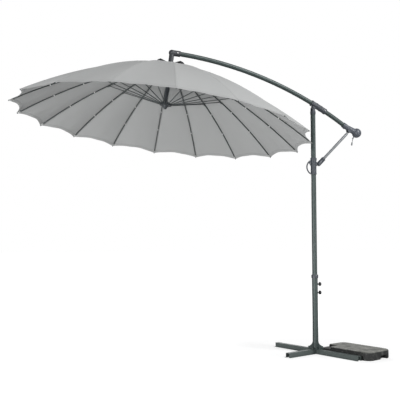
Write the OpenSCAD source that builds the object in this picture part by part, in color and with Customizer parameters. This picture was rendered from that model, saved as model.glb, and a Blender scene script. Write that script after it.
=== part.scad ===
// Cantilever parasol with an offset mast, a sliding strut carriage and a crossed foot.
// Origin on the mast axis at floor level, Z up, canopy toward -X, crank toward +X.

/* [Canopy] */
// Diameter across the canopy tips
canopy_d = 2700; // [1800:10:3500]
// Height of the crown above the tip plane
canopy_rise = 600; // [350:5:900]
// Bulge of the canopy profile between crown and tip
canopy_bulge = 0.55; // [0:0.05:1]
// How far each edge is drawn in between two tips, as a share of the radius
edge_draw = 0.055; // [0.016:0.001:0.12]
// Dip of the cloth between two ribs
sag = 8; // [0:1:40]
// Rise of the edge in the middle of a gore
edge_lift = 18; // [0:1:40]
// Thickness of the cloth with its lining
cloth_t = 2; // [1:0.5:5]
// Distance of the canopy centre from the mast axis
canopy_offset = 1551; // [1400:1:2200]
// Drop of the tip plane below the arm pivot at the canopy centre
canopy_drop = 293; // [200:1:400]
// Lean of the canopy axis toward the mast
canopy_tilt = 7; // [0:0.5:12]
// Turn of the first rib round the canopy axis
rib_phase = 16.8; // [0:0.1:20]

/* [Ribs] */
// Width of a rib
rib_w = 7; // [5:0.5:10]
// Depth of a rib
rib_depth = 10; // [8:0.5:16]
// Clear space between the cloth and a rib
rib_gap = 1.6; // [1.4:0.1:4]
// Radius of the ring wire that carries the ribs
rib_ring_r = 46; // [44:1:60]
// Thickness of a stretcher across its flat
stretcher_w = 5; // [4:0.5:7]
// Depth of a stretcher
stretcher_depth = 7; // [6:0.5:12]
// Side gap between a rib clip and its stretcher
stretcher_gap = 0.5; // [0.3:0.1:1.5]
// Radius at which a stretcher meets its rib
joint_r = 620; // [500:5:800]
// Height of the runner pivots above the tip plane
runner_h = 216; // [150:1:300]

/* [Crown] */
// Radius of the canopy post
post_r = 18; // [12:0.5:22]
// Radius of the crown hub and of the runner
hub_r = 54; // [52:1:70]
// Thickness of the crown hub and of the runner
hub_t = 18; // [14:1:26]
// Radius of the crown cap
cap_r = 140; // [90:1:180]
// Height of the crown cap rim above the cloth
cap_h = 36; // [10:1:50]
// Half the width of the crown cap between its two wings
cap_waist = 45; // [38:1:80]
// Radius of the round bite on each side of the crown cap
cap_bite = 105; // [60:1:160]
// Direction of the bites round the crown (degrees)
cap_turn = 72; // [0:1:180]
// Length of the elbow socket on the arm
elbow_socket = 78; // [50:1:140]
// Outer radius of the elbow and its stub
elbow_r = 23; // [20:0.5:30]

/* [Arm] */
// Radius of the arm tube
arm_r = 21.5; // [16:0.5:30]
// Wall of the arm tube
arm_wall = 2; // [1.2:0.1:4]
// Bend radius of the arm tube centreline
arm_bend = 3724; // [2500:1:6000]
// Distance from the pivot pin up to the arm centreline
arm_over_pivot = 39.5; // [36:0.5:60]
// Slope of the arm over the pivot pin
arm_slope = 25.76; // [15:0.01:35]
// Length of arm from the pivot to the crank end
arm_tail = 403; // [250:1:600]
// Outer radius of the pivot sleeve
sleeve_r = 28; // [25:0.5:36]
// Length of the pivot sleeve
sleeve_len = 180; // [90:1:240]

/* [Mast] */
// Radius of the mast tube
mast_r = 24; // [18:0.5:32]
// Wall of the mast tube
mast_wall = 2.5; // [1.5:0.1:4]
// Height of the arm pivot above the floor
pivot_h = 2391; // [2200:1:2700]
// Radius of the pivot pin
pivot_pin_r = 5; // [4:0.5:8]
// Radius of the mast head cap
head_r = 27; // [25:0.5:36]
// Clear space between the fork and the lug
fork_gap = 0.5; // [0.3:0.1:1.5]

/* [Carriage and strut] */
// Height of the strut pivot on the carriage
strut_h = 1840; // [1500:1:1950]
// Distance of the strut pivot from the mast axis
strut_x = 60; // [54:1:80]
// Outer radius of the carriage
slider_r = 28.5; // [27:0.5:36]
// Length of the carriage
slider_len = 162; // [110:1:220]
// Height of the carriage below the strut pivot
slider_drop = 107; // [80:1:120]
// Radius of the strut tube
strut_r = 13.5; // [9:0.5:18]
// Radius of the strut socket
socket_r = 22; // [17:0.5:24]
// Length of the strut socket past its pivot
socket_len = 78; // [50:1:110]
// Radius of the strut pins
strut_pin_r = 4; // [3:0.5:6]
// Radius of the loop handle
loop_r = 70; // [60:1:90]
// Reach of the loop handle from the mast axis
loop_out = 80; // [70:1:110]
// Thickness radius of the loop handle
loop_t = 6.5; // [5:0.5:10]

/* [Crank] */
// Radius of the ball shaped crank housing
ball_r = 47.5; // [40:0.5:60]
// Distance of the ball centre past the arm end
ball_out = 146; // [110:1:170]
// Fall of the housing neck below the horizontal
ball_fall = 24; // [10:1:40]
// Radius of the housing neck
neck_r = 24; // [20:0.5:28]
// Distance of the strut pin past the arm end
lug_out = 39; // [30:1:60]
// Distance of the strut pin below the arm end
lug_drop = 54; // [50:1:70]
// Radius of the crank shaft
crank_r = 7; // [5:0.5:10]
// Radius of the crank rod
rod_r = 3.5; // [2.5:0.5:6]
// Length of the crank rod
rod_len = 46; // [30:1:120]
// Radius of the crank grip
grip_r = 9; // [7:0.5:14]

/* [Base] */
// Outer radius of the base tube
base_r = 27.5; // [26.5:0.5:36]
// Height of the top of the base tube
base_h = 740; // [500:1:900]
// Half length of the long foot bar
long_half = 520; // [350:1:700]
// Half length of the short foot bar
short_half = 388; // [300:1:700]
// Turn of the long foot bar
foot_turn = 108; // [80:1:130]
// Width of a foot bar without its flanges
bar_w = 44; // [36:1:70]
// Height of a foot bar
bar_h = 42; // [30:1:60]
// Thickness of the foot bar metal
bar_t = 3; // [2:0.5:5]
// Width of each bottom flange
flange_w = 12; // [6:1:20]
// Side of the square foot plate
plate_w = 128; // [110:1:180]
// Thickness of the foot plate
plate_t = 6; // [4:0.5:10]
// Height of the gussets
gusset_h = 62; // [40:1:100]
// Distance of each foot bolt from the mast axis
bolt_out = 48; // [44:1:60]
// Radius of a foot bolt
bolt_r = 5; // [4:0.5:6]
// Radius of a clamp knob
knob_r = 20; // [15:1:28]
// Distance of the upper clamp knob below the top of the base tube
knob_drop = 78; // [60:1:120]
// Distance between the two clamp knobs
knob_pitch = 82; // [50:1:150]

/* [Ballast] */
// Length of the ballast slab beside the long bar
slab_l = 560; // [300:1:700]
// Width of the ballast slab beside the short bar
slab_w = 330; // [250:1:500]
// Height of the ballast slab
slab_h = 80; // [60:1:120]
// Radius of the slab corners
slab_corner = 60; // [20:1:100]
// Wall of the slab shell
slab_wall = 4; // [3:0.5:8]
// Gap between the slab and a foot bar
slab_gap = 3; // [1:0.5:20]
// Width of the grip notch in the slab
notch_w = 100; // [80:1:130]
// Place of the grip notch along the slab's end
notch_at = 218; // [120:1:260]
// Height of the grip notch
notch_h = 36; // [24:1:48]
// Depth of the grip notch
notch_d = 46; // [20:1:70]

/* [Hidden] */
ribs = 18;
canopy_height = pivot_h - canopy_drop;
knob_high = base_h - knob_drop;
knob_low = knob_high - knob_pitch;
fine = 64;
small = 32;
run = 0.05;
free = 0.4;
eps = 0.01;
R = canopy_d / 2;
pitch = 360 / ribs;
function cloth_at(t) = canopy_rise * (1 - t) * (1 + canopy_bulge * t);
function cloth_h(r) = cloth_at(r / R);
rib_under = cloth_t + rib_gap;
rib_top = function(r) cloth_h(r) - rib_under;
ring_h = rib_top(rib_ring_r) - rib_depth / 2;
joint_h = rib_top(joint_r) - rib_depth / 2 - 3;
rib_end = R - 6;
rib_steps = 14;
ring_wire = 1.6;
eye_r = rib_depth / 2;
clip_w = rib_w + 2;
side = clip_w / 2 + stretcher_gap + stretcher_w / 2;
runner_ring_x = sqrt(pow(rib_ring_r, 2) - pow(side, 2));
stretch_dx = joint_r - runner_ring_x;
stretch_dh = joint_h - runner_h;
stretch_len = sqrt(pow(stretch_dx, 2) + pow(stretch_dh, 2));
stretch_rise = atan2(stretch_dh, stretch_dx);
slot_floor = rib_ring_r - eye_r - 1.5;
hub_low = ring_h + 3 - hub_t;
post_end = runner_h + 4;
runner_top = runner_h + hub_t / 2;
runner_floor = post_end - 1;
runner_tail = runner_h - 43;
crown_x = -canopy_offset + canopy_rise * sin(canopy_tilt);
crown_z = canopy_height + canopy_rise * cos(canopy_tilt);
stub_bottom = canopy_rise + 12;

// The arm centreline is an arc; bend_x and bend_z are the arc's centre.
arm_foot_x = arm_over_pivot * sin(arm_slope);
arm_foot_z = pivot_h + arm_over_pivot * cos(arm_slope);
bend_x = arm_foot_x - arm_bend * sin(arm_slope);
bend_z = arm_foot_z - arm_bend * cos(arm_slope);
// Angles are measured from the vertical through the arc centre.
elbow_over = 101;
crown_line = crown_x + elbow_over * sin(canopy_tilt) - bend_x;
elbow_turn = asin(crown_line / arm_bend);
elbow_x = bend_x + arm_bend * sin(elbow_turn);
elbow_z = bend_z + arm_bend * cos(elbow_turn);
socket_turn = elbow_turn + asin(elbow_socket / arm_bend);
arm_start = elbow_turn + asin(20 / arm_bend);
arm_end = arm_slope + arm_tail / arm_bend * 180 / PI;
sleeve_a = arm_slope - 40 / arm_bend * 180 / PI;
sleeve_b = sleeve_a + sleeve_len / arm_bend * 180 / PI;
end_x = bend_x + arm_bend * sin(arm_end);
end_z = bend_z + arm_bend * cos(arm_end);
ball_x = end_x + ball_out * cos(ball_fall);
ball_z = end_z - ball_out * sin(ball_fall);
lug_x = end_x + lug_out;
lug_z = end_z - lug_drop;
strut_dx = lug_x - strut_x;
strut_dz = lug_z - strut_h;
strut_len = sqrt(pow(strut_dx, 2) + pow(strut_dz, 2));
strut_rise = atan2(strut_dz, strut_dx);
fork_in = strut_r + 0.5;
fork_t = 5;
lug_t = 12;
slider_low = strut_h - slider_drop;
loop_x = loop_r + loop_t - loop_out;
loop_z = slider_low + loop_r;
web_t = 4;
slider_high = slider_low + slider_len;
ear_in = 16;
ear_t = 6;
head_top = pivot_h - 34;
head_low = head_top - 26;
mast_low = bar_h + bar_t + plate_t + 0.5;
plate_low = bar_h + bar_t;
plate_top = plate_low + plate_t;
knob_start = base_r + 19;
knob_l = 20;
crank_lean = 217;
slab_off = bar_w / 2 + flange_w + slab_gap;
pocket = plate_w / 2 + slab_gap - slab_off;
open_r = strut_pin_r + 4.5;
pad_l = plate_w / 2 - bar_w / 2 - free;
pad_mid = plate_w / 2 - pad_l / 2;

// ---- helpers ----

// Puts children in the canopy frame, whose Z axis is the canopy axis.
module canopy_frame() {
    translate([-canopy_offset, 0, canopy_height]) rotate([0, canopy_tilt, 0]) children();
}

// Puts children in the vertical plane of rib i, X outward.
module rib_plane(i) {
    canopy_frame() rotate([0, 0, rib_phase + pitch * (i - 1)]) children();
}

// Lays a side view, drawn as X and height, on the plane Y = 0 with thickness w about y0.
module side_plate(w, y0 = 0) {
    translate([0, y0 + w / 2, 0]) rotate([90, 0, 0]) linear_extrude(w) children();
}

// A round bar across Y at x, z.
module cross_pin(x, z, r, len, y0 = 0) {
    translate([x, y0, z]) rotate([90, 0, 0]) cylinder(r = r, h = len, center = true, $fn = small);
}

// An arc of bar following the arm centreline, from angle a0 to a1, section given as children.
module along_arm(a0, a1) {
    translate([bend_x, 0, bend_z]) rotate([-90, 0, 0]) rotate([0, 0, a0 - 90])
        rotate_extrude(angle = a1 - a0, $fn = 360) translate([arm_bend, 0]) children();
}

// Puts children on the arm centreline at angle a, with Z along the arm toward the crank.
module on_arm(a) {
    translate([bend_x + arm_bend * sin(a), 0, bend_z + arm_bend * cos(a)])
        rotate([0, 90 + a, 0]) children();
}

// A hexagon headed bolt pointing down from z = 0.
module hex_bolt(r, len) {
    cylinder(r = r * 1.8, h = r * 1.3, $fn = 6);
    translate([0, 0, -len]) cylinder(r = r, h = len, $fn = small);
}

// ---- base ----

// A foot bar along X: a channel open downward with a flange along each bottom edge.
module foot_bar(half) {
    difference() {
        union() {
            translate([-half, -bar_w / 2, 0]) cube([2 * half, bar_w, bar_h]);
            translate([-half, -bar_w / 2 - flange_w, 0]) cube([2 * half, bar_w + 2 * flange_w, bar_t]);
        }
        translate([-half - 1, -bar_w / 2 + bar_t, -1]) cube([2 * half + 2, bar_w - 2 * bar_t, bar_h - bar_t + 1]);
    }
}

module cross_bar_long() {
    color([0.27, 0.30, 0.30]) rotate([0, 0, foot_turn]) difference() {
        union() {
            foot_bar(long_half);
            translate([-plate_w / 2, -bar_w / 2, 0]) cube([plate_w, bar_w, bar_t]);
            for (s = [-1, 1]) translate([s * pad_mid - pad_l / 2, -bar_w / 2, bar_h - eps])
                cube([pad_l, bar_w, bar_t + eps]);
        }
        for (s = [-1, 1]) translate([s * bolt_out, 0, bar_t + 1]) cylinder(r = bolt_r + free, h = bar_h, $fn = small);
    }
}

module cross_bar_short() {
    color([0.27, 0.30, 0.30]) rotate([0, 0, foot_turn - 90]) difference() {
        union() {
            foot_bar(short_half);
            translate([-plate_w / 2, -bar_w / 2, bar_h]) cube([plate_w, bar_w, bar_t]);
        }
        translate([-bar_w / 2 - flange_w - free, -bar_w, -1])
            cube([bar_w + 2 * (flange_w + free), 2 * bar_w, bar_t + 1 + free]);
        translate([-bar_w / 2 - free, -bar_w, -1]) cube([bar_w + 2 * free, 2 * bar_w, bar_h + 1]);
        for (s = [-1, 1]) translate([s * bolt_out, 0, bar_t]) cylinder(r = bolt_r + free, h = 2 * bar_h, $fn = small);
    }
}

// Curved gusset between the tube and a corner of the plate.
module gusset() {
    reach = plate_w * 0.5;
    side_plate(5) difference() {
        translate([base_r - 2, plate_top]) square([reach - base_r + 10, gusset_h]);
        translate([reach + 12, plate_top + gusset_h + 4]) circle(r = gusset_h - 14, $fn = fine);
        translate([reach - 6, plate_top + gusset_h * 0.3]) square([plate_w, gusset_h]);
    }
}

module base_tube() {
    color([0.33, 0.37, 0.36]) difference() {
        union() {
            rotate([0, 0, foot_turn]) translate([-plate_w / 2, -plate_w / 2, plate_low])
                cube([plate_w, plate_w, plate_t]);
            cylinder(r = base_r, h = base_h, $fn = fine);
            for (a = [45, 135, 225, 315]) rotate([0, 0, foot_turn + a]) gusset();
            for (z = [knob_high, knob_low]) translate([base_r - 3, 0, z]) rotate([0, 90, 0])
                cylinder(r = 9, h = 8, $fn = small);
        }
        translate([0, 0, -1]) cylinder(r = base_r * 2, h = plate_low + 1, $fn = fine);
        translate([0, 0, plate_top]) cylinder(r = mast_r + run, h = base_h, $fn = fine);
        for (z = [knob_high, knob_low]) translate([0, 0, z]) rotate([0, 90, 0])
            cylinder(r = 4 + run, h = base_r * 3, $fn = small);
        for (a = [0, 90, 180, 270]) rotate([0, 0, foot_turn + a]) translate([bolt_out, 0, 0])
            cylinder(r = bolt_r + free, h = base_h / 2, $fn = small);
    }
}

module base_bolts() {
    color([0.30, 0.32, 0.33]) for (a = [0, 90, 180, 270]) rotate([0, 0, foot_turn + a])
        translate([bolt_out, 0, plate_top]) hex_bolt(bolt_r, plate_t + bar_t + 18);
}

module tube_collar() {
    color([0.24, 0.25, 0.28]) rotate_extrude($fn = fine) polygon([
        [base_r + eps, base_h - 20], [base_r + 5, base_h - 20], [base_r + 6, base_h + 8],
        [base_r + 3, base_h + 14], [mast_r + 0.4, base_h + 14], [mast_r + 0.4, base_h],
        [base_r + eps, base_h]]);
}

// A clamp knob on the +X side, screw toward the mast.
module clamp_knob(z) {
    color([0.16, 0.17, 0.19]) translate([0, 0, z]) rotate([0, 90, 0]) difference() {
        union() {
            translate([0, 0, mast_r + 0.3]) cylinder(r = 4, h = knob_start - mast_r, $fn = small);
            rotate_extrude($fn = fine) polygon([[0, knob_start - 9], [5.5, knob_start - 9], [7, knob_start - 3],
                [knob_r - 6, knob_start], [knob_r - 1, knob_start + knob_l * 0.2], [knob_r, knob_start + knob_l * 0.5],
                [knob_r - 3, knob_start + knob_l * 0.85], [knob_r - 8, knob_start + knob_l], [0, knob_start + knob_l]]);
        }
        for (a = [0 : 60 : 300]) rotate([0, 0, a]) translate([knob_r + 5, 0, knob_start - 1])
            cylinder(r = 7, h = knob_l * 1.5, $fn = small);
    }
}

module clamp_knob_upper() {
    clamp_knob(knob_high);
}

module clamp_knob_lower() {
    clamp_knob(knob_low);
}

// ---- ballast ----

// Outline of the slab in plan with its corner at the crossing.
module slab_outline(inset) {
    translate([slab_off + inset, slab_off + inset]) union() {
        l = slab_l - 2 * inset;
        w = slab_w - 2 * inset;
        c = slab_corner - inset;
        translate([c, 0]) square([l - 2 * c, w]);
        translate([0, c]) square([l, w - 2 * c]);
        for (x = [c, l - c]) for (y = [c, w - c]) translate([x, y]) circle(r = c, $fn = fine);
    }
}

// Cut that leaves a lower step over the crossing corner and a grip notch at the far corner.
module slab_cuts(grow) {
    translate([slab_off - 1, slab_off - 1, slab_h - 24 - grow]) cube([120 + grow, 120 + grow, slab_h]);
    translate([slab_off - 1, slab_off - 1, plate_low - slab_gap - grow])
        cube([pocket + 1 + grow, pocket + 1 + grow, slab_h]);
    translate([slab_off + slab_l - notch_d - grow, slab_off + notch_at - notch_w / 2 - grow, -1])
        cube([slab_l, notch_w + 2 * grow, notch_h + 1 + grow]);
}

module slab_place() {
    rotate([0, 0, foot_turn - 180]) children();
}

module ballast_slab() {
    color([0.16, 0.16, 0.16]) slab_place() difference() {
        linear_extrude(slab_h) slab_outline(0);
        slab_cuts(0);
        difference() {
            translate([0, 0, slab_wall]) linear_extrude(slab_h - 2 * slab_wall) slab_outline(slab_wall);
            slab_cuts(slab_wall);
        }
    }
}

module ballast_fill() {
    color([0.55, 0.52, 0.48]) slab_place() difference() {
        translate([0, 0, slab_wall + eps]) linear_extrude(slab_h - 2 * slab_wall - 2 * eps)
            slab_outline(slab_wall + eps);
        slab_cuts(slab_wall + eps);
    }
}

// ---- mast ----

module mast_tube() {
    color([0.35, 0.39, 0.38]) difference() {
        translate([0, 0, mast_low]) cylinder(r = mast_r, h = head_low - mast_low + 20, $fn = fine);
        translate([0, 0, mast_low - 1]) cylinder(r = mast_r - mast_wall, h = pivot_h, $fn = fine);
    }
}

module mast_head() {
    color([0.30, 0.32, 0.35]) {
        difference() {
            union() {
                translate([0, 0, head_low]) cylinder(r = head_r, h = head_top - head_low, $fn = fine);
                for (s = [-1, 1]) side_plate(ear_t, s * (ear_in + ear_t / 2)) hull() {
                    translate([0, pivot_h]) circle(r = 13, $fn = small);
                    translate([-16, head_top - 8]) square([32, 4]);
                }
            }
            translate([0, 0, head_low - 1]) cylinder(r = mast_r + eps, h = 21, $fn = fine);
        }
        cross_pin(0, pivot_h, pivot_pin_r, 2 * (ear_in + ear_t) + 6);
        for (s = [-1, 1]) cross_pin(0, pivot_h, pivot_pin_r + 4, 5, s * (ear_in + ear_t + 2));
    }
}

// ---- carriage and strut ----

module slider() {
    color([0.33, 0.35, 0.39]) difference() {
        union() {
            translate([0, 0, slider_low]) cylinder(r = slider_r, h = slider_len, $fn = fine);
            translate([0, 0, slider_high - 24]) cylinder(r = slider_r + 3, h = 24, $fn = fine);
            translate([0, 0, slider_low]) cylinder(r = slider_r + 2, h = 10, $fn = fine);
            side_plate(lug_t) hull() {
                translate([strut_x, strut_h]) circle(r = 11, $fn = small);
                translate([mast_r + 2, strut_h - 26]) square([4, 44]);
            }
            translate([loop_x, 0, loop_z]) rotate([90, 0, 0]) rotate([0, 0, 108])
                rotate_extrude(angle = 144, $fn = fine) translate([loop_r, 0]) circle(r = loop_t, $fn = small);
            side_plate(web_t) polygon([[-mast_r - 2, loop_z + loop_r * 0.85], [loop_x - loop_r * 0.72, loop_z + loop_r * 0.6],
                [-mast_r - 2, loop_z + 6]]);
        }
        translate([0, 0, slider_low - 1]) cylinder(r = mast_r + run, h = slider_len + 2, $fn = fine);
    }
    color([0.33, 0.35, 0.39]) cross_pin(strut_x, strut_h, strut_pin_r, 2 * socket_r);
}

module strut() {
    color([0.58, 0.61, 0.63]) translate([strut_x, 0, strut_h]) rotate([0, -strut_rise, 0]) difference() {
        union() {
            translate([-14, 0, 0]) rotate([0, 90, 0]) cylinder(r = socket_r, h = socket_len + 14, $fn = fine);
            rotate([0, 90, 0]) cylinder(r = strut_r, h = strut_len, $fn = fine);
            cross_pin(strut_len, 0, open_r + 5, 2 * (fork_in - fork_gap));
        }
        cross_pin(0, 0, strut_pin_r + run, 4 * socket_r);
        cross_pin(strut_len, 0, open_r, 4 * socket_r);
        translate([-40, -lug_t / 2 - fork_gap, -2 * socket_r]) cube([40 + 28, lug_t + 2 * fork_gap, 4 * socket_r]);
    }
}

// ---- arm ----

module arm_tube() {
    color([0.35, 0.39, 0.38]) along_arm(arm_start, arm_end) difference() {
        circle(r = arm_r, $fn = fine);
        circle(r = arm_r - arm_wall, $fn = fine);
    }
}

module pivot_sleeve() {
    color([0.30, 0.32, 0.35]) difference() {
        union() {
            along_arm(sleeve_a, sleeve_b) circle(r = sleeve_r, $fn = fine);
            for (k = [0 : 3]) on_arm(sleeve_a + (sleeve_b - sleeve_a) * (k / 3.4 + 0.06))
                cylinder(r = sleeve_r + 2, h = 8, center = true, $fn = fine);
            side_plate(2 * (ear_in - fork_gap)) hull() {
                translate([0, pivot_h]) circle(r = 13, $fn = small);
                translate([arm_foot_x - 22, arm_foot_z - 14]) square([44, 8]);
            }
        }
        along_arm(sleeve_a - 1, sleeve_b + 1) circle(r = arm_r + eps, $fn = fine);
        cross_pin(0, pivot_h, pivot_pin_r + run, 6 * sleeve_r);
    }
}

module arm_elbow() {
    color([0.24, 0.26, 0.28]) difference() {
        union() {
            along_arm(elbow_turn, socket_turn) circle(r = elbow_r + 4, $fn = fine);
            translate([elbow_x, 0, elbow_z]) sphere(r = elbow_r + 5.5, $fn = fine);
            canopy_frame() translate([0, 0, stub_bottom]) cylinder(r = elbow_r, h = 100, $fn = fine);
        }
        along_arm(arm_start, socket_turn + 1) circle(r = arm_r + eps, $fn = fine);
        canopy_frame() translate([0, 0, stub_bottom - 1]) cylinder(r = post_r + eps, h = 61, $fn = fine);
    }
}

module arm_bolts() {
    color([0.55, 0.57, 0.58]) {
        on_arm(socket_turn - 0.45) rotate([90, 0, 0]) translate([0, 0, elbow_r + 4]) cylinder(r = 6, h = 4, $fn = small);
        on_arm(socket_turn - 0.45) rotate([-90, 0, 0]) translate([0, 0, elbow_r + 4]) cylinder(r = 6, h = 4, $fn = small);
        for (s = [-1, 1]) on_arm(sleeve_b - 0.35) rotate([s * 90, 0, 0]) translate([0, 0, sleeve_r])
            cylinder(r = 5, h = 4, $fn = small);
    }
}

// Slots and ring wire shared by the crown hub and the runner.
module slots(h, w, shift, rise) {
    for (i = [1 : ribs]) rotate([0, 0, pitch * (i - 1) + rib_phase]) translate([slot_floor - 0.5, shift - w / 2, h - rise])
        cube([hub_r, w, 3 * hub_t]);
}

module ring_wire_at(h) {
    translate([0, 0, h]) rotate_extrude($fn = fine) translate([rib_ring_r, 0]) circle(r = ring_wire, $fn = small);
}

module crown_hub() {
    color([0.20, 0.21, 0.23]) canopy_frame() {
        difference() {
            translate([0, 0, hub_low]) cylinder(r = hub_r, h = hub_t, $fn = fine);
            slots(ring_h, rib_w + 1, 0, hub_t);
        }
        ring_wire_at(ring_h);
        translate([0, 0, post_end]) cylinder(r = post_r, h = stub_bottom + 55 - post_end, $fn = fine);
    }
}

// A low black cap with a round bite on two sides, so that it has two wings.
module crown_cap() {
    color([0.12, 0.13, 0.14]) canopy_frame() difference() {
        rotate_extrude($fn = fine) polygon([
            [elbow_r + 2, cloth_h(elbow_r + 2) + free], [cap_r * 0.5, cloth_h(cap_r * 0.5) + free],
            [cap_r, cloth_h(cap_r) + free], [cap_r, cloth_h(cap_r) + cap_h * 0.4],
            [cap_r - 12, cloth_h(cap_r - 12) + cap_h], [cap_r - 40, cloth_h(cap_r - 40) + cap_h * 0.8],
            [elbow_r + 12, cloth_h(elbow_r + 12) + 4], [elbow_r + 2, cloth_h(elbow_r + 2) + 4]]);
        for (s = [-1, 1]) rotate([0, 0, cap_turn]) translate([s * (cap_waist + cap_bite), 0, 0])
            cylinder(r = cap_bite, h = 2 * canopy_rise, $fn = fine);
    }
}

module runner_hub() {
    color([0.20, 0.21, 0.23]) canopy_frame() {
        difference() {
            union() {
                translate([0, 0, runner_h - hub_t / 2]) cylinder(r = hub_r, h = hub_t, $fn = fine);
                translate([0, 0, runner_h]) cylinder(r = post_r + 9, h = 24, $fn = fine);
                translate([0, 0, runner_tail]) cylinder(r1 = 10, r2 = 30, h = 34, $fn = fine);
            }
            slots(runner_h, stretcher_w + 1, side, hub_t);
            translate([0, 0, runner_floor]) cylinder(r = post_r + 0.06, h = 60, $fn = fine);
        }
        ring_wire_at(runner_h);
    }
}

// ---- canopy ----

rows = 11;
cols = 6;
inner_t = (elbow_r + 1) / R;
function draw_in(f, t) = 1 - (1 - pow(f, 2)) * (0.015 + (edge_draw - 0.015) * pow(t, 2));
function row_t(j) = inner_t + (1 - inner_t) * j / rows;
function cloth_point(i, j, low) = let(
    t = row_t(j),
    f = 2 * (i % cols) / cols - 1,
    a = rib_phase + pitch / 2 + pitch * i / cols - pitch / 2,
    r = R * t * draw_in(f, t))
    [r * cos(a), r * sin(a), cloth_at(t) - low + (1 - pow(f, 2)) * (edge_lift * pow(t, 4) - sag * pow(t, 2) * (1 - t) * 6.75)];

module canopy() {
    n = ribs * cols;
    top = [for (j = [0 : rows]) for (i = [0 : n - 1]) cloth_point(i, j, 0)];
    low = [for (j = [0 : rows]) for (i = [0 : n - 1]) cloth_point(i, j, cloth_t)];
    half = len(top);
    faces = concat(
        [for (j = [0 : rows - 1]) for (i = [0 : n - 1])
            [j * n + i, j * n + (i + 1) % n, (j + 1) * n + i]],
        [for (j = [0 : rows - 1]) for (i = [0 : n - 1])
            [(j + 1) * n + i, j * n + (i + 1) % n, (j + 1) * n + (i + 1) % n]],
        [for (j = [0 : rows - 1]) for (i = [0 : n - 1])
            [half + j * n + i, half + (j + 1) * n + i, half + j * n + (i + 1) % n]],
        [for (j = [0 : rows - 1]) for (i = [0 : n - 1])
            [half + (j + 1) * n + i, half + (j + 1) * n + (i + 1) % n, half + j * n + (i + 1) % n]],
        [for (i = [0 : n - 1]) [i, half + i, (i + 1) % n]],
        [for (i = [0 : n - 1]) [(i + 1) % n, half + i, half + (i + 1) % n]],
        [for (i = [0 : n - 1]) [rows * n + i, rows * n + (i + 1) % n, half + rows * n + i]],
        [for (i = [0 : n - 1]) [rows * n + (i + 1) % n, half + rows * n + (i + 1) % n, half + rows * n + i]]);
    color([0.66, 0.66, 0.65]) canopy_frame() polyhedron(points = concat(top, low), faces = faces, convexity = 6);
}

// ---- ribs and stretchers ----

module rib(i) {
    xs = [for (k = [0 : rib_steps]) rib_ring_r + (rib_end - rib_ring_r) * k / rib_steps];
    color([0.32, 0.35, 0.34]) rib_plane(i) difference() {
        union() {
            side_plate(rib_w) polygon(concat(
                [for (x = xs) [x, rib_top(x)]],
                [for (k = [0 : rib_steps]) [xs[rib_steps - k], rib_top(xs[rib_steps - k]) - rib_depth]]));
            cross_pin(rib_ring_r, ring_h, eye_r, rib_w);
            translate([joint_r, 0, joint_h - 4]) rotate([0, 22, 0]) cube([34, clip_w, rib_depth], center = true);
        }
        cross_pin(rib_ring_r, ring_h, ring_wire + 0.4, 4 * rib_w);
    }
}

module stretcher(i) {
    color([0.32, 0.35, 0.34]) rib_plane(i) translate([runner_ring_x, side, runner_h]) rotate([0, -stretch_rise, 0])
        difference() {
            union() {
                translate([0, -stretcher_w / 2, -stretcher_depth / 2]) cube([stretch_len, stretcher_w, stretcher_depth]);
                cross_pin(0, 0, stretcher_depth / 2 + 1, stretcher_w);
                cross_pin(stretch_len, 0, stretcher_depth / 2 + 1, stretcher_w);
            }
            cross_pin(0, 0, ring_wire + 0.9, 4 * stretcher_w);
            cross_pin(stretch_len, 0, 2, 4 * stretcher_w);
        }
}

// ---- crank ----

module crank_housing() {
    color([0.28, 0.30, 0.34]) difference() {
        union() {
            on_arm(arm_end) translate([0, 0, -30]) cylinder(r1 = arm_r + 5, r2 = arm_r + 8, h = 34, $fn = fine);
            translate([end_x, 0, end_z]) rotate([0, 90 + ball_fall, 0])
                cylinder(r1 = neck_r, r2 = neck_r + 9, h = ball_out, $fn = fine);
            translate([ball_x, 0, ball_z]) sphere(r = ball_r, $fn = fine);
            for (s = [-1, 1]) side_plate(fork_t, s * (fork_in + fork_t / 2)) hull() {
                translate([lug_x, lug_z]) circle(r = 12, $fn = small);
                translate([lug_x - 20, lug_z + 30]) square([40, 6]);
            }
        }
        along_arm(arm_end - 1, arm_end + 0.01) circle(r = arm_r + eps, $fn = fine);
        cross_pin(lug_x, lug_z, open_r + 12, 2 * fork_in);
        translate([ball_x, 0, ball_z]) rotate([0, crank_lean, 0]) translate([0, 0, ball_r - 22])
            cylinder(r = crank_r - 2 + run, h = 60, $fn = small);
    }
    color([0.70, 0.71, 0.72]) {
        cross_pin(lug_x, lug_z, strut_pin_r, 2 * (fork_in + fork_t) + 4);
        for (s = [-1, 1]) cross_pin(lug_x, lug_z, strut_pin_r + 4, 4, s * (fork_in + fork_t + 2));
    }
}

// Children stand on the crank axis at the ball surface, Z outward.
module crank_axis() {
    translate([ball_x, 0, ball_z]) rotate([0, crank_lean, 0]) translate([0, 0, ball_r]) children();
}

module crank_handle() {
    color([0.16, 0.17, 0.18]) crank_axis() {
        translate([0, 0, -20]) cylinder(r = crank_r - 2, h = 24, $fn = small);
        translate([0, 0, 1.5]) cylinder(r = crank_r, h = 30, $fn = small);
        translate([0, 0, 26]) rotate([0, -24, 0]) cylinder(r = rod_r, h = rod_len + 26, $fn = small);
    }
}

module crank_grip() {
    color([0.14, 0.15, 0.16]) crank_axis() translate([0, 0, 26]) rotate([0, -24, 0]) difference() {
        union() {
            translate([0, 0, rod_len - 4]) cylinder(r = grip_r - 2, h = 18, $fn = small);
            translate([0, 0, rod_len + 18]) sphere(r = grip_r, $fn = small);
        }
        translate([0, 0, rod_len - 10]) cylinder(r = rod_r + run, h = 36.5, $fn = small);
    }
}

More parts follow.
